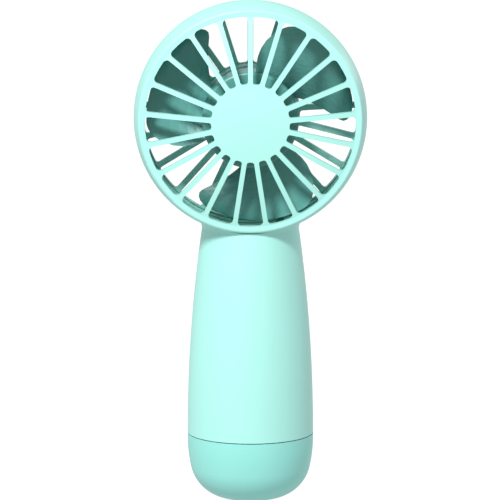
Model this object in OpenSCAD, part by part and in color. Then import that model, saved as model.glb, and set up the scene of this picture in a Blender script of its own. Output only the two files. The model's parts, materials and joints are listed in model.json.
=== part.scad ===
// Battery mini fan, hand held.
// +Z is up, the open front of the fan faces -Y, +X is on the right seen from the front.
// The origin is the centre of the flat foot. All lengths in millimetres.

/* [Handle] */
// Widest diameter of the handle, at the seam with the base cap
handle_d = 40.1; // [39:0.1:44]
// Diameter of the handle where it meets the head
neck_d = 30.4; // [29.6:0.1:32]
// Height at which the handle runs into the head
neck_z = 88; // [88:0.5:110]
// Height of the seam between handle and base cap
seam_z = 20.8; // [18:0.1:24]
// Wall thickness of the moulded shells
shell_wall = 2.0; // [1.6:0.1:2.2]
// Radius of the rounded bottom corner of the base cap
cap_corner_r = 12.6; // [11:0.1:13.4]
// Radius of the gentle curve of the base cap's side
cap_side_r = 45; // [40:1:60]
// How much of the rounded bottom is cut off flat
foot_cut = 0.2; // [0.2:0.05:0.5]
// Diameter of the foot pad
pad_d = 15.8; // [12:0.1:16.2]
// Height of the gap that shows as the seam line
seam_gap = 0.3; // [0.1:0.05:0.5]

/* [Head] */
// Widest diameter of the head
head_d = 73.5; // [60:0.1:90]
// How much smaller the radius of the head is at its front edge
front_drop = 1.85; // [1.4:0.05:2.2]
// How much smaller the radius of the head is at its rear edge
rear_drop = 1.25; // [1:0.05:1.6]
// Depth of the head ring
head_depth = 26.3; // [26:0.1:28]
// Distance of the middle of the head ring in front of the handle axis
head_offset = 3.35; // [3:0.05:4]
// Wall thickness of the head ring
ring_wall = 1.3; // [1.1:0.1:1.5]
// Radius of the rounded front and rear edges of the head
edge_round = 0.8; // [0.5:0.1:1]
// Radius of the fillet between neck and head
neck_fillet = 3; // [2:0.1:4]

/* [Grilles] */
// Number of ribs in each grille
rib_count = 21; // [15:1:24]
// Width of a front rib
front_rib_w = 1.5; // [1.2:0.1:1.8]
// Width of a rear rib
rear_rib_w = 1.8; // [1.4:0.1:2]
// Thickness of the ribs from front to back
rib_depth = 2.4; // [1.8:0.1:2.6]
// Width of the flat ring around the front openings
front_rim_w = 2; // [1.8:0.1:3]
// Width of the ring around the rear openings
rear_rim_w = 1.65; // [1.4:0.05:2.2]
// Radius of the closed disc in the middle of the front grille
front_disc_r = 12.2; // [10:0.1:14]
// How far the middle of a grille stands out from its rim
dome_rise = 4.5; // [4:0.1:5]
// Depth of the outer band of a grille, up to its seam with the head ring
rim_t = 2.1; // [1.8:0.1:2.4]

/* [Impeller] */
// Outer radius of the impeller hub
hub_r = 15.2; // [15:0.1:16]
// Depth of the impeller hub
hub_depth = 14; // [13:0.1:14.4]
// Distance of the hub face behind the rim of the front grille
hub_setback = 4.5; // [4.3:0.1:4.8]
// Clearance of the blade tips inside the skirt of the front grille
tip_gap = 1.1; // [0.6:0.1:3]
// Number of blades
blade_count = 3; // [2:1:4]
// Thickness of a blade along the axis
blade_t = 1.3; // [1:0.1:1.8]
// Depth swept by one blade along the axis
blade_pitch = 11; // [8:0.1:11.2]

/* [Motor] */
// Diameter of the motor shaft
shaft_d = 2; // [1.8:0.1:2.4]
// Running clearance of the shaft in its bearings, on the radius
shaft_clear = 0.02; // [0.01:0.01:0.05]
// Outer diameter of the bearing tube
tube_d = 6.4; // [6.2:0.1:6.8]
// Air gap between stator and magnet
air_gap = 0.4; // [0.3:0.05:0.6]
// Number of stator teeth
tooth_count = 6; // [4:1:6]
// Diameter of the lead from the main board to the motor
lead_d = 1.6; // [1.2:0.1:1.8]

/* [Battery and electronics] */
// Diameter of the battery cell
cell_d = 18.4; // [18:0.1:18.6]
// Length of the battery cell
cell_len = 65; // [62:0.1:65.6]
// Width of the main board
board_w = 14; // [12:0.1:16]
// Thickness of the circuit boards
board_t = 1.2; // [0.8:0.1:1.4]
// Width of the charging socket
usb_w = 8.9; // [8:0.1:9]
// Height of the charging socket
usb_h = 3.2; // [2.6:0.1:3.4]
// Height of the charging socket above the foot
usb_z = 34; // [32:0.1:38]

/* [Button] */
// Diameter of the power button
button_d = 10.2; // [8:0.1:11]
// Height of the power button above the foot
button_z = 62; // [58:0.1:66]
// Clearance around the button
button_gap = 0.3; // [0.25:0.05:0.5]
// Travel of the button when it is pressed
button_travel = 0.35; // [0.2:0.05:0.45]

/* [Hidden] */
$fn = 96;
eps = 0.05;

// Handle outline: one long arc, widest at the seam.
handle_r = handle_d / 2;
neck_r = neck_d / 2;
side_drop = handle_r - neck_r;
side_run = neck_z - seam_z;
side_r = (side_run * side_run + side_drop * side_drop) / (2 * side_drop);
function handle_at(z) = handle_r - side_r + sqrt(side_r * side_r - (z - seam_z) * (z - seam_z));
cavity_top = neck_z - 6;
spigot_h = 4;
spigot_r = handle_at(seam_z + spigot_h) - shell_wall - 0.08;

// Base cap outline: flat bottom, round corner, gently curved side.
side_cx = handle_r - cap_side_r;
side_cz = seam_z - 1.3;
corner_z = cap_corner_r - foot_cut;
corner_x = side_cx + sqrt(pow(cap_side_r - cap_corner_r, 2) - pow(side_cz - corner_z, 2));
corner_top = side_cz - cap_side_r * (side_cz - corner_z) / (cap_side_r - cap_corner_r);
pad_r = pad_d / 2;
pad_proud = 0.3;
pad_seat = 1.3;
cap_floor = 3.3;

// Head ring: thin barrel, the curve is fuller towards the rear.
head_r = head_d / 2;
head_sink = 2.35;
head_z = neck_z + head_r - head_sink;
half_depth = head_depth / 2;
front_y = -head_offset - half_depth;
rear_y = -head_offset + half_depth;
function bulge(drop) = (half_depth * half_depth + drop * drop) / (2 * drop);
function seam_r(drop) = head_r - bulge(drop) + sqrt(pow(bulge(drop), 2) - pow(half_depth - rim_t, 2));
ring_zone = head_r - 17;
front_seam_y = front_y + rim_t;
rear_seam_y = rear_y - rim_t;
seam_play = 0.03;
skirt_len = 5;
skirt_w = 0.5;
front_slot_r = head_r - front_drop - front_rim_w;
rear_slot_r = head_r - rear_drop - rear_rim_w;
front_skirt_r = front_slot_r + 1.3;
rear_skirt_r = rear_slot_r + 1.1;
rim_lap = 0.15;
apex_flat_r = 2.2;
skirt_play = 0.05;
bead_r = 0.2;
rib_step = 360 / rib_count;

// Impeller.
tip_r = front_skirt_r - skirt_w - tip_gap;
hub_y = front_y + hub_setback;
hub_wall = 1.4;
hub_in_r = hub_r - hub_wall;
blade_y = hub_y + 1.4;
root_r = hub_r - 0.7;
chord_steps = 12;
blade_radii = concat([for (i = [0:4]) root_r + (tip_r - 4.5 - root_r) * i / 5],
    [for (back = [4.5, 3.2, 2.1, 1.2, 0.5, 0.12, 0]) tip_r - back]);

// Motor, all radii measured from the fan axis.
can_t = 0.8;
can_r = hub_in_r - 0.03;
can_y = hub_y + 1.6;
can_in_r = can_r - can_t;
magnet_t = 1.6;
magnet_in_r = can_in_r - magnet_t;
stator_r = magnet_in_r - air_gap;
tube_r = tube_d / 2;
bearing_r = tube_r - 0.6;
shaft_r = shaft_d / 2;
bore_r = shaft_r + shaft_clear;
stack_y0 = can_y + 4.2;
stack_y1 = stack_y0 + 6;
former_t = 0.6;
cup_r = hub_r + 0.3;
cup_wall = 1.6;
cup_in_r = cup_r - cup_wall;
cup_y = hub_y + hub_depth + 1;
motor_board_y = cup_y + 1.6;
tube_y0 = stack_y0 - 0.6;
tube_y1 = rear_y + dome_rise - rib_depth - 0.3;
post_r = 10.6;
post_angles = [30, 150, 270];

// Battery and board positions.
cell_r = cell_d / 2;
cell_y = -3.2;
plate_y = cell_y + cell_r + 0.4;
plate_t = 1.2;
cradle_z0 = 9;
cradle_t = 1.2;
cell_z0 = cradle_z0 + cradle_t + 0.7;
cell_z1 = cell_z0 + cell_len;
cradle_z1 = cell_z1 + 0.7;
cradle_w = cell_d + 2.6;
board_y = plate_y + plate_t + 1.2;
board_z0 = 24;
board_z1 = cradle_z1 - 1.6;
board_back = board_y + board_t;
board_screw_z = [board_z0 + 3.5, board_z1 - 3.5];

// Power button and switch.
button_r = button_d / 2;
button_face = handle_at(button_z) + button_travel;
flange_r = button_r + 1.1;
flange_y1 = sqrt(pow(handle_at(button_z) - shell_wall, 2) - flange_r * flange_r) - 0.35;
flange_t = 0.8;
switch_h = 1.8;
plunger_top = board_back + switch_h + 0.8;
stem_y = plunger_top + 0.15;

// Light guide pins.
pin_z = 48;
pin_r = 0.9;
pin_x = [-4.5, -1.5, 1.5, 4.5];

// Route of the lead from the main board through the neck to the motor board.
lead_angle = 270 + 9.5 * rib_step - 360;
lead_x = 32 * cos(lead_angle);
lead_y = 3.4;
lead_points = [[3.2, board_back + 0.1, 72.6], [3.2, 10.8, 72.7], [3.8, 11.4, 74.6],
    [4.9, 11, 77.2], [6.3, 9.4, 79.3], [8, 7, 80.1], [9.1, 4.8, 80.1], [lead_x, lead_y + 0.2, 80.8],
    [lead_x, lead_y, 81.9], [lead_x, lead_y, 84], [lead_x, lead_y, 88], [lead_x, 3.7, 90.5],
    [lead_x - 0.2, 4.9, 93.5], [lead_x * 0.8, 7, 97.6], [lead_x * 0.62, 8.4, 102],
    [lead_x * 0.5, 8.7, 106.4], [lead_x * 0.45, 8.4, 109.6], [lead_x * 0.42, 7.5, 111.3],
    [lead_x * 0.41, 5.95, 111.6]];
red_points = [[5.6, board_back + 0.1, 66.6], [5.6, 10.6, 66.65], [6.5, 11, 69.2],
    [7.8, 10.8, 72.6], [8.4, 9.9, 76.2], [8.4, 8, 78.7], [7.2, 4.6, 78.8], [5.4, 1.2, 78.7],
    [3.9, -1.5, 78.3], [3.2, -2.4, 77.2], [3.2, -2.4, cell_z1 + 0.25]];
black_points = [[-5.6, board_back + 0.1, 30], [-5.6, 10.6, 29.95], [-7, 11, 27.6],
    [-8.5, 10.4, 24], [-8.8, 9.6, 18], [-8.6, 9.2, 12], [-7.8, 7.8, 8.2], [-6.4, 4, 7.2],
    [-4.9, 0.2, 7.1], [-3.8, -1.9, 8.2], [-3.6, -2.2, cell_z0 - 0.25]];

// Puts children on the fan axis: local z becomes depth, angles run clockwise from the front.
module on_axis() {
    translate([0, 0, head_z]) rotate([-90, 0, 0]) children();
}

module disc(r, y0, y1) {
    translate([0, 0, y0]) cylinder(r = r, h = y1 - y0);
}

module ring(ro, ri, y0, y1) {
    difference() {
        disc(ro, y0, y1);
        disc(ri, y0 - 1, y1 + 1);
    }
}

// Cylinder along +Y from y0 to y1 at x, z.
module pin(x, z, r, y0, y1) {
    translate([x, y0, z]) rotate([-90, 0, 0]) cylinder(r = r, h = y1 - y0);
}

module block(x0, x1, y0, y1, z0, z1) {
    translate([x0, y0, z0]) cube([x1 - x0, y1 - y0, z1 - z0]);
}

// Flat bar with round ends, along +Y, width w and height h.
module stadium(w, h, y0, y1, z) {
    block(-w / 2 + h / 2, w / 2 - h / 2, y0, y1, z - h / 2, z + h / 2);
    for (s = [-1, 1]) pin(s * (w - h) / 2, z, h / 2, y0, y1);
}

// Round cord along a list of points, closed at both ends.
function unit(v) = v / norm(v);
function along(p, i) = unit(p[min(i + 1, len(p) - 1)] - p[max(i - 1, 0)]);
function side(t) = unit(cross(t, abs(t[0]) > 0.9 ? [0, 0, 1] : [1, 0, 0]));
module cord(p, r, n = 8) {
    rings = [for (i = [0:len(p) - 1]) let(t = along(p, i), u = side(t), v = cross(t, u))
        for (k = [0:n - 1]) p[i] + r * (cos(k * 360 / n) * u + sin(k * 360 / n) * v)];
    walls = [for (i = [0:len(p) - 2], k = [0:n - 1]) let(a = i * n + k, b = i * n + (k + 1) % n)
        each [[a, b + n, b], [a, a + n, b + n]]];
    start = [[for (k = [0:n - 1]) k]];
    end = [[for (k = [n - 1:-1:0]) (len(p) - 1) * n + k]];
    polyhedron(points = rings, faces = concat(start, walls, end));
}

// Smooths a route: keeps its ends and adds points on a Catmull-Rom curve.
function curve(a, b, c, d, t) = 0.5 * (2 * b + (c - a) * t + (2 * a - 5 * b + 4 * c - d) * t * t
    + (3 * b - a - 3 * c + d) * t * t * t);
function smooth(p, m = 3) = [for (i = [0:len(p) - 2], k = [0:m - 1])
    curve(p[max(i - 1, 0)], p[i], p[i + 1], p[min(i + 2, len(p) - 1)], k / m), p[len(p) - 1]];

// Handle side curve as a sketch, pulled in by inset.
module handle_sketch(inset, z0, z1) {
    intersection() {
        translate([handle_r - side_r, seam_z]) circle(r = side_r - inset, $fn = 720);
        translate([0, z0]) square([handle_r + 5, z1 - z0]);
    }
}

// Base cap outline as a sketch, pulled in by inset.
module cap_sketch(inset, z0, z1) {
    intersection() {
        union() {
            translate([corner_x, corner_z]) circle(r = cap_corner_r - inset);
            square([corner_x, z1]);
            intersection() {
                translate([side_cx, side_cz]) circle(r = cap_side_r - inset, $fn = 360);
                translate([0, corner_top]) square([handle_r, side_cz - corner_top]);
            }
            translate([0, side_cz]) square([handle_r - inset, z1 - side_cz]);
        }
        translate([0, z0]) square([handle_r + 1, z1 - z0]);
    }
}

// Half of the barrel section of the head: x is radius, y runs from the middle to the edge.
module half_barrel(r, inset) {
    rise = half_depth - edge_round;
    x = head_r - r + sqrt(pow(r - edge_round, 2) - rise * rise);
    y = rise * r / (r - edge_round);
    intersection() {
        union() {
            intersection() {
                translate([head_r - r, 0]) circle(r = r - inset, $fn = 360);
                translate([ring_zone, -0.01]) square([20, y + 0.01]);
            }
            translate([x, rise]) circle(r = edge_round);
            translate([ring_zone, 0]) square([x - ring_zone, half_depth]);
        }
        translate([ring_zone, -0.01]) square([20, inset > 0 ? rise : half_depth + 1]);
    }
}

module barrel_sketch(inset = 0) {
    translate([0, -head_offset]) {
        mirror([0, 1]) half_barrel(bulge(front_drop), inset);
        half_barrel(bulge(rear_drop), inset);
    }
}

module neck_flare() {
    z0 = neck_z - 1.2;
    translate([0, 0, z0]) rotate_extrude() difference() {
        square([neck_r + 1.2, neck_fillet]);
        translate([handle_at(z0) + neck_fillet, 0]) circle(r = neck_fillet);
    }
}

module main_housing() color("aquamarine") difference() {
    union() {
        on_axis() rotate_extrude() intersection() {
            barrel_sketch();
            translate([ring_zone, front_seam_y + seam_play])
                square([20, rear_seam_y - front_seam_y - 2 * seam_play]);
        }
        rotate_extrude() handle_sketch(0, seam_z + seam_gap / 2, neck_z + 8);
        neck_flare();
    }
    on_axis() {
        rotate_extrude() {
            barrel_sketch(ring_wall);
            translate([0, front_y - 1]) square([ring_zone + 0.1, head_depth + 2]);
        }
        disc(front_skirt_r + skirt_play, front_y - 1, front_y + skirt_len + 0.1);
        disc(rear_skirt_r + skirt_play, rear_y - skirt_len - 0.1, rear_y + 30);
        disc(seam_r(front_drop) + seam_play, front_y - 1, front_seam_y + seam_play);
        disc(seam_r(rear_drop) + seam_play, rear_seam_y - seam_play, rear_y + 30);
        for (p = [[front_skirt_r, front_y + skirt_len - 1.2], [rear_skirt_r, rear_y - skirt_len + 1.2]])
            rotate_extrude() translate([p[0] + skirt_play, p[1]]) circle(r = bead_r + 0.05);
    }
    rotate_extrude() handle_sketch(shell_wall, seam_z - 1, cavity_top);
    translate([lead_x, lead_y, cavity_top - 1]) cylinder(r = lead_d / 2 + 0.7, h = 14);
    translate([-4, -3, cavity_top - 1]) cylinder(r = 2.1, h = 4);
    pin(0, button_z, button_r + button_gap, 12, 30);
    stadium(usb_w + 0.7, usb_h + 0.7, 12, 30, usb_z);
    for (x = pin_x) pin(x, pin_z, pin_r + 0.1, 12, 30);
}

module base_cap() color("aquamarine") difference() {
    union() {
        rotate_extrude() cap_sketch(0, pad_proud, seam_z - seam_gap / 2);
        disc(spigot_r, seam_z - 2, seam_z + spigot_h);
    }
    rotate_extrude() difference() {
        cap_sketch(shell_wall, cap_floor, seam_z + spigot_h + 1);
        translate([spigot_r - 1.2, seam_z - 3]) square([5, 12]);
    }
    disc(pad_r + 0.1, -1, pad_seat);
    disc(1.3, 0, 10);
    disc(2.6, 0, pad_seat + 1.2);
}

module foot_pad() color("gray") disc(pad_r, 0, pad_seat - 0.05);

module base_screw() color("silver") difference() {
    union() {
        disc(2.4, pad_seat, pad_seat + 1.2);
        disc(1.1, pad_seat + 1, cradle_z0 + 0.8);
    }
    for (a = [0, 90]) rotate(a) translate([-1.4, -0.25, pad_seat - 1]) cube([2.8, 0.5, 1.5]);
}

// One opening between two ribs, with rounded corners, as a sketch.
function arc(cx, cy, r, a0, a1, n) = [for (i = [0:n]) let(a = a0 + (a1 - a0) * i / n)
    [cx + r * cos(a), cy + r * sin(a)]];
module slot(w, ri, ro, c_in, c_out) {
    half = rib_step / 2;
    a_out = half - asin((w / 2 + c_out) / (ro - c_out));
    a_in = half - asin((w / 2 + c_in) / (ri + c_in));
    d_out = ro - c_out;
    d_in = ri + c_in;
    polygon(concat(
        arc(0, 0, ro, -a_out, a_out, 8),
        arc(d_out * cos(a_out), d_out * sin(a_out), c_out, a_out + 20, half + 90, 4),
        arc(d_in * cos(a_in), d_in * sin(a_in), c_in, half + 90, a_in + 180, 4),
        arc(d_in * cos(a_in), -d_in * sin(a_in), c_in, 180 - a_in, 270 - half, 4),
        arc(d_out * cos(a_out), -d_out * sin(a_out), c_out, 270 - half, 340 - a_out, 4)));
}

// Head outline between two depths, outside radius r, as a sketch.
module rim_sketch(r, y0, y1) {
    intersection() {
        barrel_sketch();
        translate([r, y0]) square([20, y1 - y0]);
    }
}

// Domed shell of even thickness with openings cut through it, apex towards -z, children are its rim.
module domed_grille(rib_w, disc_r, slot_r, skirt_r, c_out) {
    ball = (slot_r * slot_r + dome_rise * dome_rise) / (2 * dome_rise);
    difference() {
        rotate_extrude() {
            intersection() {
                difference() {
                    translate([0, ball - dome_rise]) circle(r = ball, $fn = 720);
                    translate([0, ball - dome_rise]) circle(r = ball - rib_depth, $fn = 720);
                }
                translate([apex_flat_r, -dome_rise - 1])
                    square([slot_r + 0.3 - apex_flat_r, dome_rise + 3.6]);
            }
            translate([0, apex_flat_r * apex_flat_r / (2 * ball) - dome_rise + 0.003])
                square([apex_flat_r + 0.1, rib_depth - 0.03]);
            translate([skirt_r - skirt_w, rim_t - 0.5]) square([skirt_w, skirt_len + 0.5 - rim_t]);
            translate([skirt_r - 0.05, skirt_len - 1.2]) circle(r = bead_r);
            children();
        }
        for (k = [0:rib_count - 1]) rotate(-90 + (k + 0.5) * rib_step)
            translate([0, 0, -dome_rise - 2]) linear_extrude(dome_rise + 12)
                slot(rib_w, disc_r, slot_r, 0.8, c_out);
    }
}

module front_grille() color("aquamarine") on_axis() translate([0, 0, front_y])
    domed_grille(front_rib_w, front_disc_r, front_slot_r, front_skirt_r, 1.3)
        translate([0, -front_y]) rim_sketch(front_slot_r + rim_lap, front_y, front_seam_y);

module rear_grille() color("aquamarine") on_axis() difference() {
    union() {
        translate([0, 0, rear_y]) mirror([0, 0, 1])
            domed_grille(rear_rib_w, cup_r + 0.3, rear_slot_r, rear_skirt_r, 0.8)
                mirror([0, 1]) translate([0, -rear_y])
                    rim_sketch(rear_slot_r + rim_lap, rear_seam_y, rear_y);
        ring(cup_r, cup_in_r, cup_y, rear_y + 2.4);
        ring(tube_r + 1.4, tube_r, tube_y1 - 2.6, rear_y + 2.4);
        for (a = post_angles) rotate(a) translate([post_r, 0, 0])
            ring(1.6, 0.7, motor_board_y + board_t, rear_y + 2.2);
    }
    rotate(lead_angle) translate([cup_in_r - 1, -1.3, cup_y - 1])
        cube([3.5, 2.6, 8.7]);
}

// Angle of the two long edges of a blade at radius r, clockwise seen from the front.
function lead_edge(r) = 36 + 0.0763 * (r - 17) * (r - 17)
    + corner_turn(r, 1.6, 2.4);
function tail_edge(r) = 101 + 2.45 * (r - 16.6) - 0.05 * (r - 16.6) * (r - 16.6)
    - corner_turn(r, 4.5, 10);
function corner_turn(r, deep, wide) = let(f = max(0, r - (tip_r - deep)) / deep)
    wide * (1 - sqrt(max(0, 1 - f * f))) / r * 57.3;
function blade_point(r, s, back) = let(a = lead_edge(r) + s * (tail_edge(r) - lead_edge(r)))
    [r * cos(a), r * sin(a), blade_y + blade_pitch * (s - 0.07 * sin(180 * s)) + back];

module blade() {
    n = len(blade_radii);
    m = chord_steps + 1;
    pts = [for (b = [0, blade_t], r = blade_radii, j = [0:chord_steps])
        blade_point(r, j / chord_steps, b)];
    q = n * m;
    sheet = [for (i = [0:n - 2], j = [0:m - 2]) let(a = i * m + j)
        each [[a, a + m + 1, a + 1], [a, a + m, a + m + 1]]];
    back = [for (f = sheet) [f[2] + q, f[1] + q, f[0] + q]];
    ends = [for (j = [0:m - 2], i = [0, n - 1]) let(a = i * m + j)
        each (i == 0 ? [[a, a + q + 1, a + q], [a, a + 1, a + q + 1]]
            : [[a, a + q, a + q + 1], [a, a + q + 1, a + 1]])];
    sides = [for (i = [0:n - 2], j = [0, m - 1]) let(a = i * m + j)
        each (j == 0 ? [[a, a + q, a + m + q], [a, a + m + q, a + m]]
            : [[a, a + m + q, a + q], [a, a + m, a + m + q]])];
    polyhedron(points = pts, faces = concat(sheet, back, ends, sides));
}

module impeller() color("teal") on_axis() {
    difference() {
        rotate_extrude() {
            translate([0, hub_y]) square([hub_r - 1, 1.6]);
            intersection() {
                translate([hub_r - 1, hub_y + 1]) circle(r = 1);
                translate([hub_r - 1, hub_y]) square([1, 1.1]);
            }
            translate([hub_in_r, hub_y + 1]) square([hub_wall, hub_depth - 1]);
        }
        disc(shaft_r, hub_y + 0.6, hub_y + 3);
    }
    for (k = [0:blade_count - 1]) rotate(k * 360 / blade_count) blade();
}

module rotor_can() color("silver") on_axis() {
    ring(can_r, can_in_r, can_y, hub_y + hub_depth - 0.5);
    ring(can_in_r + eps, 2.2, can_y, can_y + can_t);
}

module rotor_magnet() color("dimgray") on_axis()
    ring(can_in_r, magnet_in_r, can_y + 1.8, hub_y + hub_depth - 1);

module shaft_hub() color("goldenrod") on_axis() {
    ring(2.2, shaft_r, can_y, can_y + 3.2);
    ring(3.2, 2.2 - eps, can_y + can_t, can_y + 1.8);
}

module motor_shaft() color("silver") on_axis() difference() {
    disc(shaft_r, hub_y + 0.6, tube_y1 - 1.6);
    ring(shaft_r + 1, shaft_r - 0.3, tube_y1 - 3.2, tube_y1 - 2.6);
}

module thrust_washer() color("white") on_axis()
    ring(2.1, shaft_r + 0.05, can_y + 3.2, tube_y0 - 0.05);

module front_bearing() color("goldenrod") on_axis() ring(bearing_r, bore_r, tube_y0, tube_y0 + 4);

module rear_bearing() color("goldenrod") on_axis()
    ring(bearing_r, bore_r, tube_y1 - 7.8, tube_y1 - 3.8);

module shaft_clip() color("silver") on_axis() difference() {
    ring(1.9, shaft_r - 0.3, tube_y1 - 3.15, tube_y1 - 2.65);
    translate([-0.5, 0, tube_y1 - 4]) cube([1, 3, 2]);
}

module bearing_tube() color("khaki") on_axis() {
    ring(tube_r, bearing_r, tube_y0, tube_y1);
    disc(bearing_r + eps, tube_y1 - 0.8, tube_y1);
}

module tooth(y0, y1, grow) {
    translate([tube_r, -1.2 - grow, y0]) cube([stator_r - tube_r - 1, 2.4 + 2 * grow, y1 - y0]);
    intersection() {
        ring(stator_r, stator_r - 1.2, y0, y1);
        translate([0, -3.8, y0]) cube([stator_r + 1, 7.6, y1 - y0]);
    }
}

module stator_core() color("gray") on_axis() {
    ring(tube_r + 1.6, tube_r, stack_y0, stack_y1);
    for (k = [0:tooth_count - 1]) rotate(k * 360 / tooth_count) difference() {
        tooth(stack_y0, stack_y1, 0);
        disc(tube_r + 1, stack_y0 - 1, stack_y1 + 1);
    }
}

module coil_former() color("white") on_axis()
    for (y = [stack_y0 - former_t, stack_y1]) {
        ring(tube_r + 1.6, tube_r + 0.05, y, y + former_t);
        for (k = [0:tooth_count - 1]) rotate(k * 360 / tooth_count) difference() {
            tooth(y, y + former_t, 0);
            disc(tube_r + 1, y - 1, y + 2);
        }
    }

module stator_windings() color("chocolate") on_axis()
    for (k = [0:tooth_count - 1]) rotate(k * 360 / tooth_count) difference() {
        translate([tube_r + 2.2, -2, stack_y0 - former_t - 0.8])
            cube([stator_r - tube_r - 3.8, 4, 6 + 2 * former_t + 1.6]);
        translate([tube_r, -1.25, stack_y0 - former_t - 0.02])
            cube([12, 2.5, 6 + 2 * former_t + 0.04]);
    }

module motor_board() color("darkgreen") on_axis() difference() {
    ring(cup_in_r - 0.3, tube_r + 0.2, motor_board_y, motor_board_y + board_t);
    for (a = post_angles) rotate(a) translate([post_r, 0, 0])
        disc(0.9, motor_board_y - 1, motor_board_y + 3);
}

module motor_chips() color("black") on_axis() {
    y = motor_board_y + board_t;
    translate([-2, -8.6, y]) cube([4, 3.6, 1.2]);
    translate([5, 3.2, y]) cube([2, 1.6, 0.9]);
    translate([-7.2, 0.8, y]) cube([1.8, 3, 0.8]);
    translate([6.2, -2.2, y]) cube([1.6, 2.6, 0.8]);
}

module motor_screws() color("silver") on_axis() for (a = post_angles)
    rotate(a) translate([post_r, 0, 0]) {
        disc(1.5, motor_board_y - 0.8, motor_board_y);
        disc(0.7, motor_board_y - 0.5, motor_board_y + board_t + 3);
    }

module motor_lead() color("darkcyan") cord(smooth(lead_points), lead_d / 2);

module lead_bush() color("darkcyan") translate([lead_x, lead_y, 0]) {
    ring(lead_d / 2 + 1.4, lead_d / 2 + 0.15, cavity_top - 0.9, cavity_top - 0.05);
    ring(lead_d / 2 + 0.65, lead_d / 2 + 0.15, cavity_top - 0.5, cavity_top + 2.6);
}

module battery_cradle() color("whitesmoke") difference() {
    union() {
        block(-cradle_w / 2, cradle_w / 2, plate_y, plate_y + plate_t, cradle_z0, cradle_z1 + cradle_t);
        for (s = [-1, 1]) translate([s * (cradle_w / 2 - 0.5) - 0.5, -4, cradle_z0])
            cube([1, plate_y + 4 + eps, cradle_z1 + cradle_t - cradle_z0]);
        for (z = [cradle_z0, cradle_z1])
            block(-cradle_w / 2, cradle_w / 2, -9, plate_y + eps, z, z + cradle_t);
        disc(2.8, cap_floor + 0.2, cradle_z0 + eps);
        translate([-4, -3, cradle_z1]) cylinder(r = 2, h = cavity_top + 2.5 - cradle_z1);
        for (z = board_screw_z) pin(0, z, 2.2, plate_y + eps, board_y);
    }
    disc(1.1, 0, cradle_z0 + 1.1);
    for (z = board_screw_z) pin(0, z, 0.8, plate_y - 1, board_y + 1);
    translate([3.2, -2.4, cradle_z1 - 1]) cylinder(r = 1.4, h = 4);
    translate([-3.6, -2.2, cradle_z0 - 1]) cylinder(r = 1.4, h = 4);
}

module battery_cell() color("royalblue") translate([0, cell_y, 0]) {
    disc(cell_r, cell_z0, cell_z1 - 0.6);
    disc(cell_r - 0.9, cell_z1 - 0.7, cell_z1 - 0.3);
    disc(3, cell_z1 - 0.4, cell_z1);
}

module cell_insulator() color("white") translate([0, cell_y, 0])
    ring(cell_r - 1, 3.3, cell_z1 - 0.3, cell_z1);

module top_tab() color("silver") block(-3, 6, cell_y - 2, cell_y + 2, cell_z1, cell_z1 + 0.2);

module bottom_tab() color("silver") block(-6, 3, cell_y - 2, cell_y + 2, cell_z0 - 0.2, cell_z0);

module cell_pad() color("dimgray") block(-5, 5, plate_y - 0.38, plate_y, 20, 66);

module battery_leads() color("firebrick") {
    cord(smooth(red_points, 2), 0.55);
    cord(smooth(black_points, 2), 0.55);
}

module main_board() color("darkgreen") difference() {
    block(-board_w / 2, board_w / 2, board_y, board_back, board_z0, board_z1);
    for (z = board_screw_z) pin(0, z, 1.1, board_y - 1, board_back + 1);
}

module board_chips() color("black") {
    block(-3, 2.2, board_back, board_back + 1.6, 40, 45);
    block(3.4, 5.8, board_back, board_back + 1.1, 40.5, 43.5);
    block(-6, -4.2, board_back, board_back + 0.9, 41, 44.2);
    block(-6, -3.6, board_back, board_back + 1.2, 53, 55.6);
    block(3.2, 6, board_back, board_back + 1.4, 52.6, 56);
    block(-5.6, -3.4, board_back, board_back + 0.8, board_z1 - 6.5, board_z1 - 5);
}

module board_screws() color("silver") for (z = board_screw_z) {
    pin(0, z, 1.7, board_back, board_back + 1);
    pin(0, z, 0.8, plate_y + 0.1, board_back + 0.1);
}

module usb_shell() color("silver") difference() {
    stadium(usb_w, usb_h, board_back, handle_at(usb_z) - 0.5, usb_z);
    stadium(usb_w - 0.7, usb_h - 0.7, board_back + 1.2, 30, usb_z);
}

module usb_tongue() color("black")
    block(-3.2, 3.2, board_back + 1.2, handle_at(usb_z) - 1.6, usb_z - 0.35, usb_z + 0.35);

module tact_switch() color("silver") difference() {
    block(-2.6, 2.6, board_back, board_back + switch_h, button_z - 2.6, button_z + 2.6);
    pin(0, button_z, 1.35, board_back + 0.95 - button_travel, board_back + 5);
}

module switch_plunger() color("black")
    pin(0, button_z, 1.2, board_back + 1.1, plunger_top);

module power_button() color("aquamarine") {
    pin(0, button_z, button_r, flange_y1 - flange_t, button_face - 0.5);
    pin(0, button_z, button_r - 0.5, button_face - 0.6, button_face);
    pin(0, button_z, flange_r, flange_y1 - flange_t, flange_y1);
    pin(0, button_z, 1.8, stem_y, flange_y1 - flange_t + eps);
    translate([0, button_face - 0.5, button_z]) rotate([-90, 0, 0]) rotate_extrude()
        translate([button_r - 0.5, 0]) circle(r = 0.5);
}

module indicator_leds() color("ivory") for (x = pin_x)
    block(x - 0.5, x + 0.5, board_back, board_back + 0.8, pin_z - 0.8, pin_z + 0.8);

module light_guide() color("lightcyan") {
    for (x = pin_x)
        pin(x, pin_z, pin_r, board_back + 1.2, sqrt(pow(handle_at(pin_z), 2) - x * x) - 0.15);
    block(-5.4, 5.4, board_back + 1.2, board_back + 2.4, pin_z - 1.3, pin_z + 1.3);
}

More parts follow.
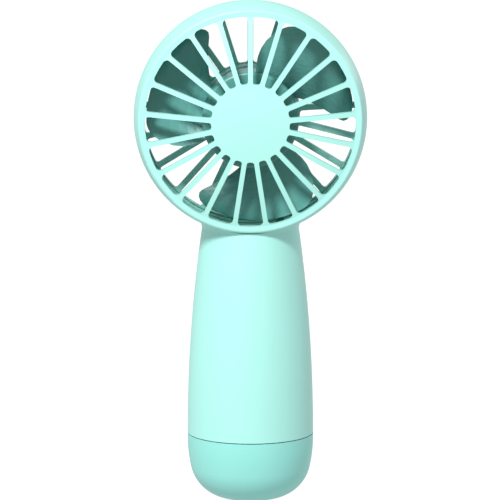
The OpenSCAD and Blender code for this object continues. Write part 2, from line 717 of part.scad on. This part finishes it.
main_housing();
base_cap();
foot_pad();
base_screw();
front_grille();
rear_grille();
impeller();
rotor_can();
rotor_magnet();
shaft_hub();
motor_shaft();
thrust_washer();
front_bearing();
rear_bearing();
shaft_clip();
bearing_tube();
stator_core();
coil_former();
stator_windings();
motor_board();
motor_chips();
motor_screws();
motor_lead();
lead_bush();
battery_cradle();
battery_cell();
cell_insulator();
top_tab();
bottom_tab();
cell_pad();
battery_leads();
main_board();
board_chips();
board_screws();
usb_shell();
usb_tongue();
tact_switch();
switch_plunger();
power_button();
indicator_leds();
light_guide();
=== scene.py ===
import json
import math

import bpy
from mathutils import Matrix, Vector

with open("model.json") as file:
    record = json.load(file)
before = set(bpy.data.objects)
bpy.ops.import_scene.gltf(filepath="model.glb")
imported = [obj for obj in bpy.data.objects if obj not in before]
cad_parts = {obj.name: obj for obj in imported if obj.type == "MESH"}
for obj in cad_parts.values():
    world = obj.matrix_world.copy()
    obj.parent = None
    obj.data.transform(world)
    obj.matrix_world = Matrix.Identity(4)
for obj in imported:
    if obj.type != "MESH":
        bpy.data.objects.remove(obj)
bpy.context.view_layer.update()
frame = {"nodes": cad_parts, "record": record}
nodes = frame["nodes"]
scene = bpy.context.scene
scene.view_settings.view_transform = "Standard"
scene.view_settings.look = "None"
scene.view_settings.exposure = 0.0
scene.view_settings.gamma = 1.0

# ---------------------------------------------------------------- camera
# The camera looks straight at the fan's front from slightly above; metres, and millimetres for lens.
ELEV = math.radians(9.0)
AIM = Vector((-0.00013, 0.0, 0.0795))
DIST = 1.228
LENS = 278.7
SENSOR = 36.0
CLIP_NEAR = 0.05
CLIP_FAR = 60.0
cam_data = bpy.data.cameras.new("camera")
cam_data.lens = LENS
cam_data.sensor_width = SENSOR
cam_data.clip_start = CLIP_NEAR
cam_data.clip_end = CLIP_FAR
cam_data.dof.use_dof = False
camera = bpy.data.objects.new("camera", cam_data)
camera.location = AIM + DIST * Vector((0.0, -math.cos(ELEV), math.sin(ELEV)))
camera.rotation_euler = (math.radians(90.0) - ELEV, 0.0, 0.0)
scene.collection.objects.link(camera)
scene.camera = camera


# ---------------------------------------------------------------- materials
NOISE_ROUGHNESS = 0.55
NOISE_LOW, NOISE_HIGH = 0.3, 0.7  # the part of the noise that Map Range spreads out


class Shader:
    """A node material on the Principled shader, with object-space noise for its detail."""

    def __init__(self, name):
        self.mat = bpy.data.materials.new(name)
        self.mat.use_nodes = True
        self.tree = self.mat.node_tree
        self.bsdf = self.tree.nodes["Principled BSDF"]
        self.coord = self.tree.nodes.new("ShaderNodeTexCoord")

    def set(self, **values):
        for key, value in values.items():
            self.bsdf.inputs[key.replace("_", " ")].default_value = value
        return self

    def noise(self, scale, detail, stretch=(1, 1, 1)):
        mapping = self.tree.nodes.new("ShaderNodeMapping")
        mapping.inputs["Scale"].default_value = stretch
        tex = self.tree.nodes.new("ShaderNodeTexNoise")
        tex.inputs["Scale"].default_value = scale
        tex.inputs["Detail"].default_value = detail
        tex.inputs["Roughness"].default_value = NOISE_ROUGHNESS
        self.tree.links.new(self.coord.outputs["Object"], mapping.inputs["Vector"])
        self.tree.links.new(mapping.outputs["Vector"], tex.inputs["Vector"])
        return tex.outputs["Fac"]

    def range(self, fac, low, high):
        """Spread the noise to the values from low to high."""
        node = self.tree.nodes.new("ShaderNodeMapRange")
        node.inputs["From Min"].default_value = NOISE_LOW
        node.inputs["From Max"].default_value = NOISE_HIGH
        node.inputs["To Min"].default_value = low
        node.inputs["To Max"].default_value = high
        self.tree.links.new(fac, node.inputs["Value"])
        return node.outputs["Result"]

    def mix(self, fac, a, b):
        node = self.tree.nodes.new("ShaderNodeMix")
        node.data_type = "RGBA"
        node.inputs["A"].default_value = a
        node.inputs["B"].default_value = b
        self.tree.links.new(fac, node.inputs["Factor"])
        return node.outputs["Result"]

    def link(self, out, socket):
        self.tree.links.new(out, self.bsdf.inputs[socket])
        return self

    def bump(self, layers):
        """layers are (height socket, strength, distance in metres)."""
        last = None
        for height, strength, distance in layers:
            node = self.tree.nodes.new("ShaderNodeBump")
            node.inputs["Strength"].default_value = strength
            node.inputs["Distance"].default_value = distance
            self.tree.links.new(height, node.inputs["Height"])
            if last is not None:
                self.tree.links.new(last, node.inputs["Normal"])
            last = node.outputs["Normal"]
        return self.link(last, "Normal")


# Noise scales, in cells per metre, and heights of the bumps in metres.
CLOUDS, GLOSS_PATCHES, FLOW_MARKS = 38.0, 220.0, 55.0
FLOW_STRETCH = (1, 1, 0.35)
FLOW_HEIGHT, GRAIN_HEIGHT = 0.0006, 0.00003
METAL_CLOUDS, METAL_PATCHES, METAL_HEIGHT = 160.0, 420.0, 0.00004
SOFT_CLOUDS, SOFT_PATCHES, SOFT_GRAIN, SOFT_HEIGHT = 130.0, 700.0, 3000.0, 0.00005


def plastic(name, dark, light, rough, grain=2600.0, **extra):
    """Moulded plastic: cloudy colour, uneven gloss, spark-eroded grain, faint flow marks."""
    sh = Shader(name)
    sh.link(sh.mix(sh.range(sh.noise(CLOUDS, 4.0), 0.0, 1.0), dark, light), "Base Color")
    sh.link(sh.range(sh.noise(GLOSS_PATCHES, 4.0), rough - 0.05, rough + 0.05), "Roughness")
    fine = sh.noise(grain, 2.0)
    flow = sh.noise(FLOW_MARKS, 2.0, FLOW_STRETCH)
    sh.bump([(flow, 0.10, FLOW_HEIGHT), (fine, 0.12, GRAIN_HEIGHT)])
    return sh.set(**extra).mat


def metal(name, dark, light, rough, stretch=(1, 1, 1), scale=900.0):
    """Plated or turned metal: fine drawn lines and a patchy polish."""
    sh = Shader(name)
    sh.link(sh.mix(sh.range(sh.noise(METAL_CLOUDS, 4.0), 0.0, 1.0), dark, light), "Base Color")
    sh.link(sh.range(sh.noise(METAL_PATCHES, 3.0), rough - 0.07, rough + 0.08), "Roughness")
    sh.bump([(sh.noise(scale, 2.0, stretch), 0.18, METAL_HEIGHT)])
    return sh.set(Metallic=1.0).mat


def soft(name, dark, light, rough):
    """Rubber, foam, cable jacket and sintered magnet: matt, with a slight skin texture."""
    sh = Shader(name)
    sh.link(sh.mix(sh.range(sh.noise(SOFT_CLOUDS, 5.0), 0.0, 1.0), dark, light), "Base Color")
    sh.link(sh.range(sh.noise(SOFT_PATCHES, 3.0), rough - 0.08, rough + 0.08), "Roughness")
    sh.bump([(sh.noise(SOFT_GRAIN, 3.0), 0.25, SOFT_HEIGHT)])
    return sh.mat


def around(r, g, b, spread=0.03):
    """The same linear colour a little darker and a little lighter."""
    low = tuple(c * (1.0 - spread) for c in (r, g, b)) + (1.0,)
    high = tuple(min(1.0, c * (1.0 + spread)) for c in (r, g, b)) + (1.0,)
    return low, high


mint = plastic("mint_shell", *around(0.325, 0.675, 0.61, 0.012), 0.45)
mint_cap = plastic("mint_cap", *around(0.24, 0.615, 0.56, 0.012), 0.42)
blade = plastic("teal_blade", *around(0.085, 0.27, 0.245, 0.03), 0.34, grain=2200.0)
nylon = plastic("white_nylon", *around(0.72, 0.72, 0.68), 0.5)
sleeve = plastic("cell_sleeve", *around(0.012, 0.07, 0.33), 0.3)
board = plastic("board_green", *around(0.006, 0.07, 0.025, 0.15), 0.35, grain=1500.0)
chip = plastic("chip_black", *around(0.012, 0.012, 0.013, 0.2), 0.5)
guide = plastic("clear_guide", *around(0.80, 0.90, 0.92, 0.02), 0.14, Transmission_Weight=0.85)
steel = metal("screw_steel", (0.50, 0.50, 0.51, 1), (0.62, 0.62, 0.63, 1), 0.32)
pressed = metal("pressed_steel", (0.42, 0.43, 0.45, 1), (0.55, 0.56, 0.58, 1), 0.38, (1, 6, 1))
shaft = metal("shaft_steel", (0.62, 0.62, 0.64, 1), (0.72, 0.72, 0.74, 1), 0.16, (1, 8, 1))
nickel = metal("nickel", (0.58, 0.56, 0.52, 1), (0.70, 0.68, 0.64, 1), 0.24)
brass = metal("brass", (0.62, 0.42, 0.15, 1), (0.74, 0.54, 0.24, 1), 0.28, (1, 7, 1))
bronze = metal("bearing_bronze", (0.34, 0.21, 0.08, 1), (0.46, 0.31, 0.14, 1), 0.55, scale=2400.0)
copper = metal("copper_wire", (0.46, 0.15, 0.05, 1), (0.62, 0.25, 0.10, 1), 0.3, (1, 12, 1), 1400.0)
magnet = soft("magnet", (0.015, 0.014, 0.014, 1), (0.035, 0.033, 0.033, 1), 0.6)
rubber = soft("pad_rubber", (0.22, 0.56, 0.51, 1), (0.27, 0.64, 0.59, 1), 0.7)
foam = soft("foam", (0.012, 0.012, 0.013, 1), (0.03, 0.03, 0.032, 1), 0.9)
teal_lead = soft("lead_teal", (0.07, 0.22, 0.20, 1), (0.09, 0.27, 0.245, 1), 0.55)
red_lead = soft("lead_red", (0.32, 0.006, 0.006, 1), (0.42, 0.012, 0.01, 1), 0.45)

by_slot = {
    "mint_shell": mint,
    "mint_cap": mint_cap,
    "teal_blade": blade,
    "pad_rubber": rubber,
    "screw_steel": steel,
    "pressed_steel": pressed,
    "shaft_steel": shaft,
    "magnet": magnet,
    "brass": brass,
    "bearing_bronze": bronze,
    "copper_wire": copper,
    "white_nylon": nylon,
    "board_green": board,
    "chip_black": chip,
    "lead_teal": teal_lead,
    "lead_red": red_lead,
    "cell_sleeve": sleeve,
    "nickel": nickel,
    "foam": foam,
    "clear_guide": guide,
}
for part in frame["record"]["subparts"]:
    mesh = nodes[part["node"]].data
    mesh.materials.clear()
    mesh.materials.append(by_slot[part["material_slot"]])


# ---------------------------------------------------------------- floor and light
# Strengths of the floor's glow on the object and of the even light from all round.
FLOOR_BOUNCE = 0.66
SKY = 0.63
# The floor lies just under the foot, and reaches past the view behind the object.
FLOOR_SIZE = 40.0
FLOOR_PLACE = (0, 12.0, -0.0001)
FLOOR_CLOUDS = 3.0
LIGHT_AIM = (0, 0, 0.09)


def floor_material():
    """Plain white to the eye, and weaker as a light source on the object."""
    sh = Shader("floor")
    tree_nodes, links = sh.tree.nodes, sh.tree.links
    path = tree_nodes.new("ShaderNodeLightPath")
    glow = tree_nodes.new("ShaderNodeMapRange")
    glow.inputs["To Min"].default_value = FLOOR_BOUNCE
    glow.inputs["To Max"].default_value = 1.0
    links.new(path.outputs["Is Camera Ray"], glow.inputs["Value"])
    links.new(glow.outputs["Result"], sh.bsdf.inputs["Emission Strength"])
    patches = sh.range(sh.noise(FLOOR_CLOUDS, 3.0), 0.0, 1.0)
    grey = sh.mix(patches, (0.05, 0.05, 0.05, 1), (0.06, 0.06, 0.06, 1))
    sh.link(grey, "Base Color")
    return sh.set(Roughness=0.9, Emission_Color=(1, 1, 1, 1)).mat


bpy.ops.mesh.primitive_plane_add(size=FLOOR_SIZE, location=FLOOR_PLACE)
floor = bpy.context.active_object
floor.name = "floor"
floor.data.materials.append(floor_material())

world = bpy.data.worlds.new("studio")
world.use_nodes = True
background = world.node_tree.nodes["Background"]
background.inputs["Color"].default_value = (1, 1, 1, 1)
background.inputs["Strength"].default_value = SKY
scene.world = world


def area(name, location, size, power):
    """A round lamp aimed at the middle of the fan; size in metres, power in watts."""
    data = bpy.data.lights.new(name, "AREA")
    data.shape = "DISK"
    data.size = size
    data.energy = power
    obj = bpy.data.objects.new(name, data)
    obj.location = location
    obj.rotation_euler = (Vector(LIGHT_AIM) - Vector(location)).to_track_quat("-Z", "Y").to_euler()
    scene.collection.objects.link(obj)


area("key", (-0.42, -1.0, 1.13), 0.28, 28.0)
area("back_right", (1.05, 1.05, 0.5), 0.5, 3.5)
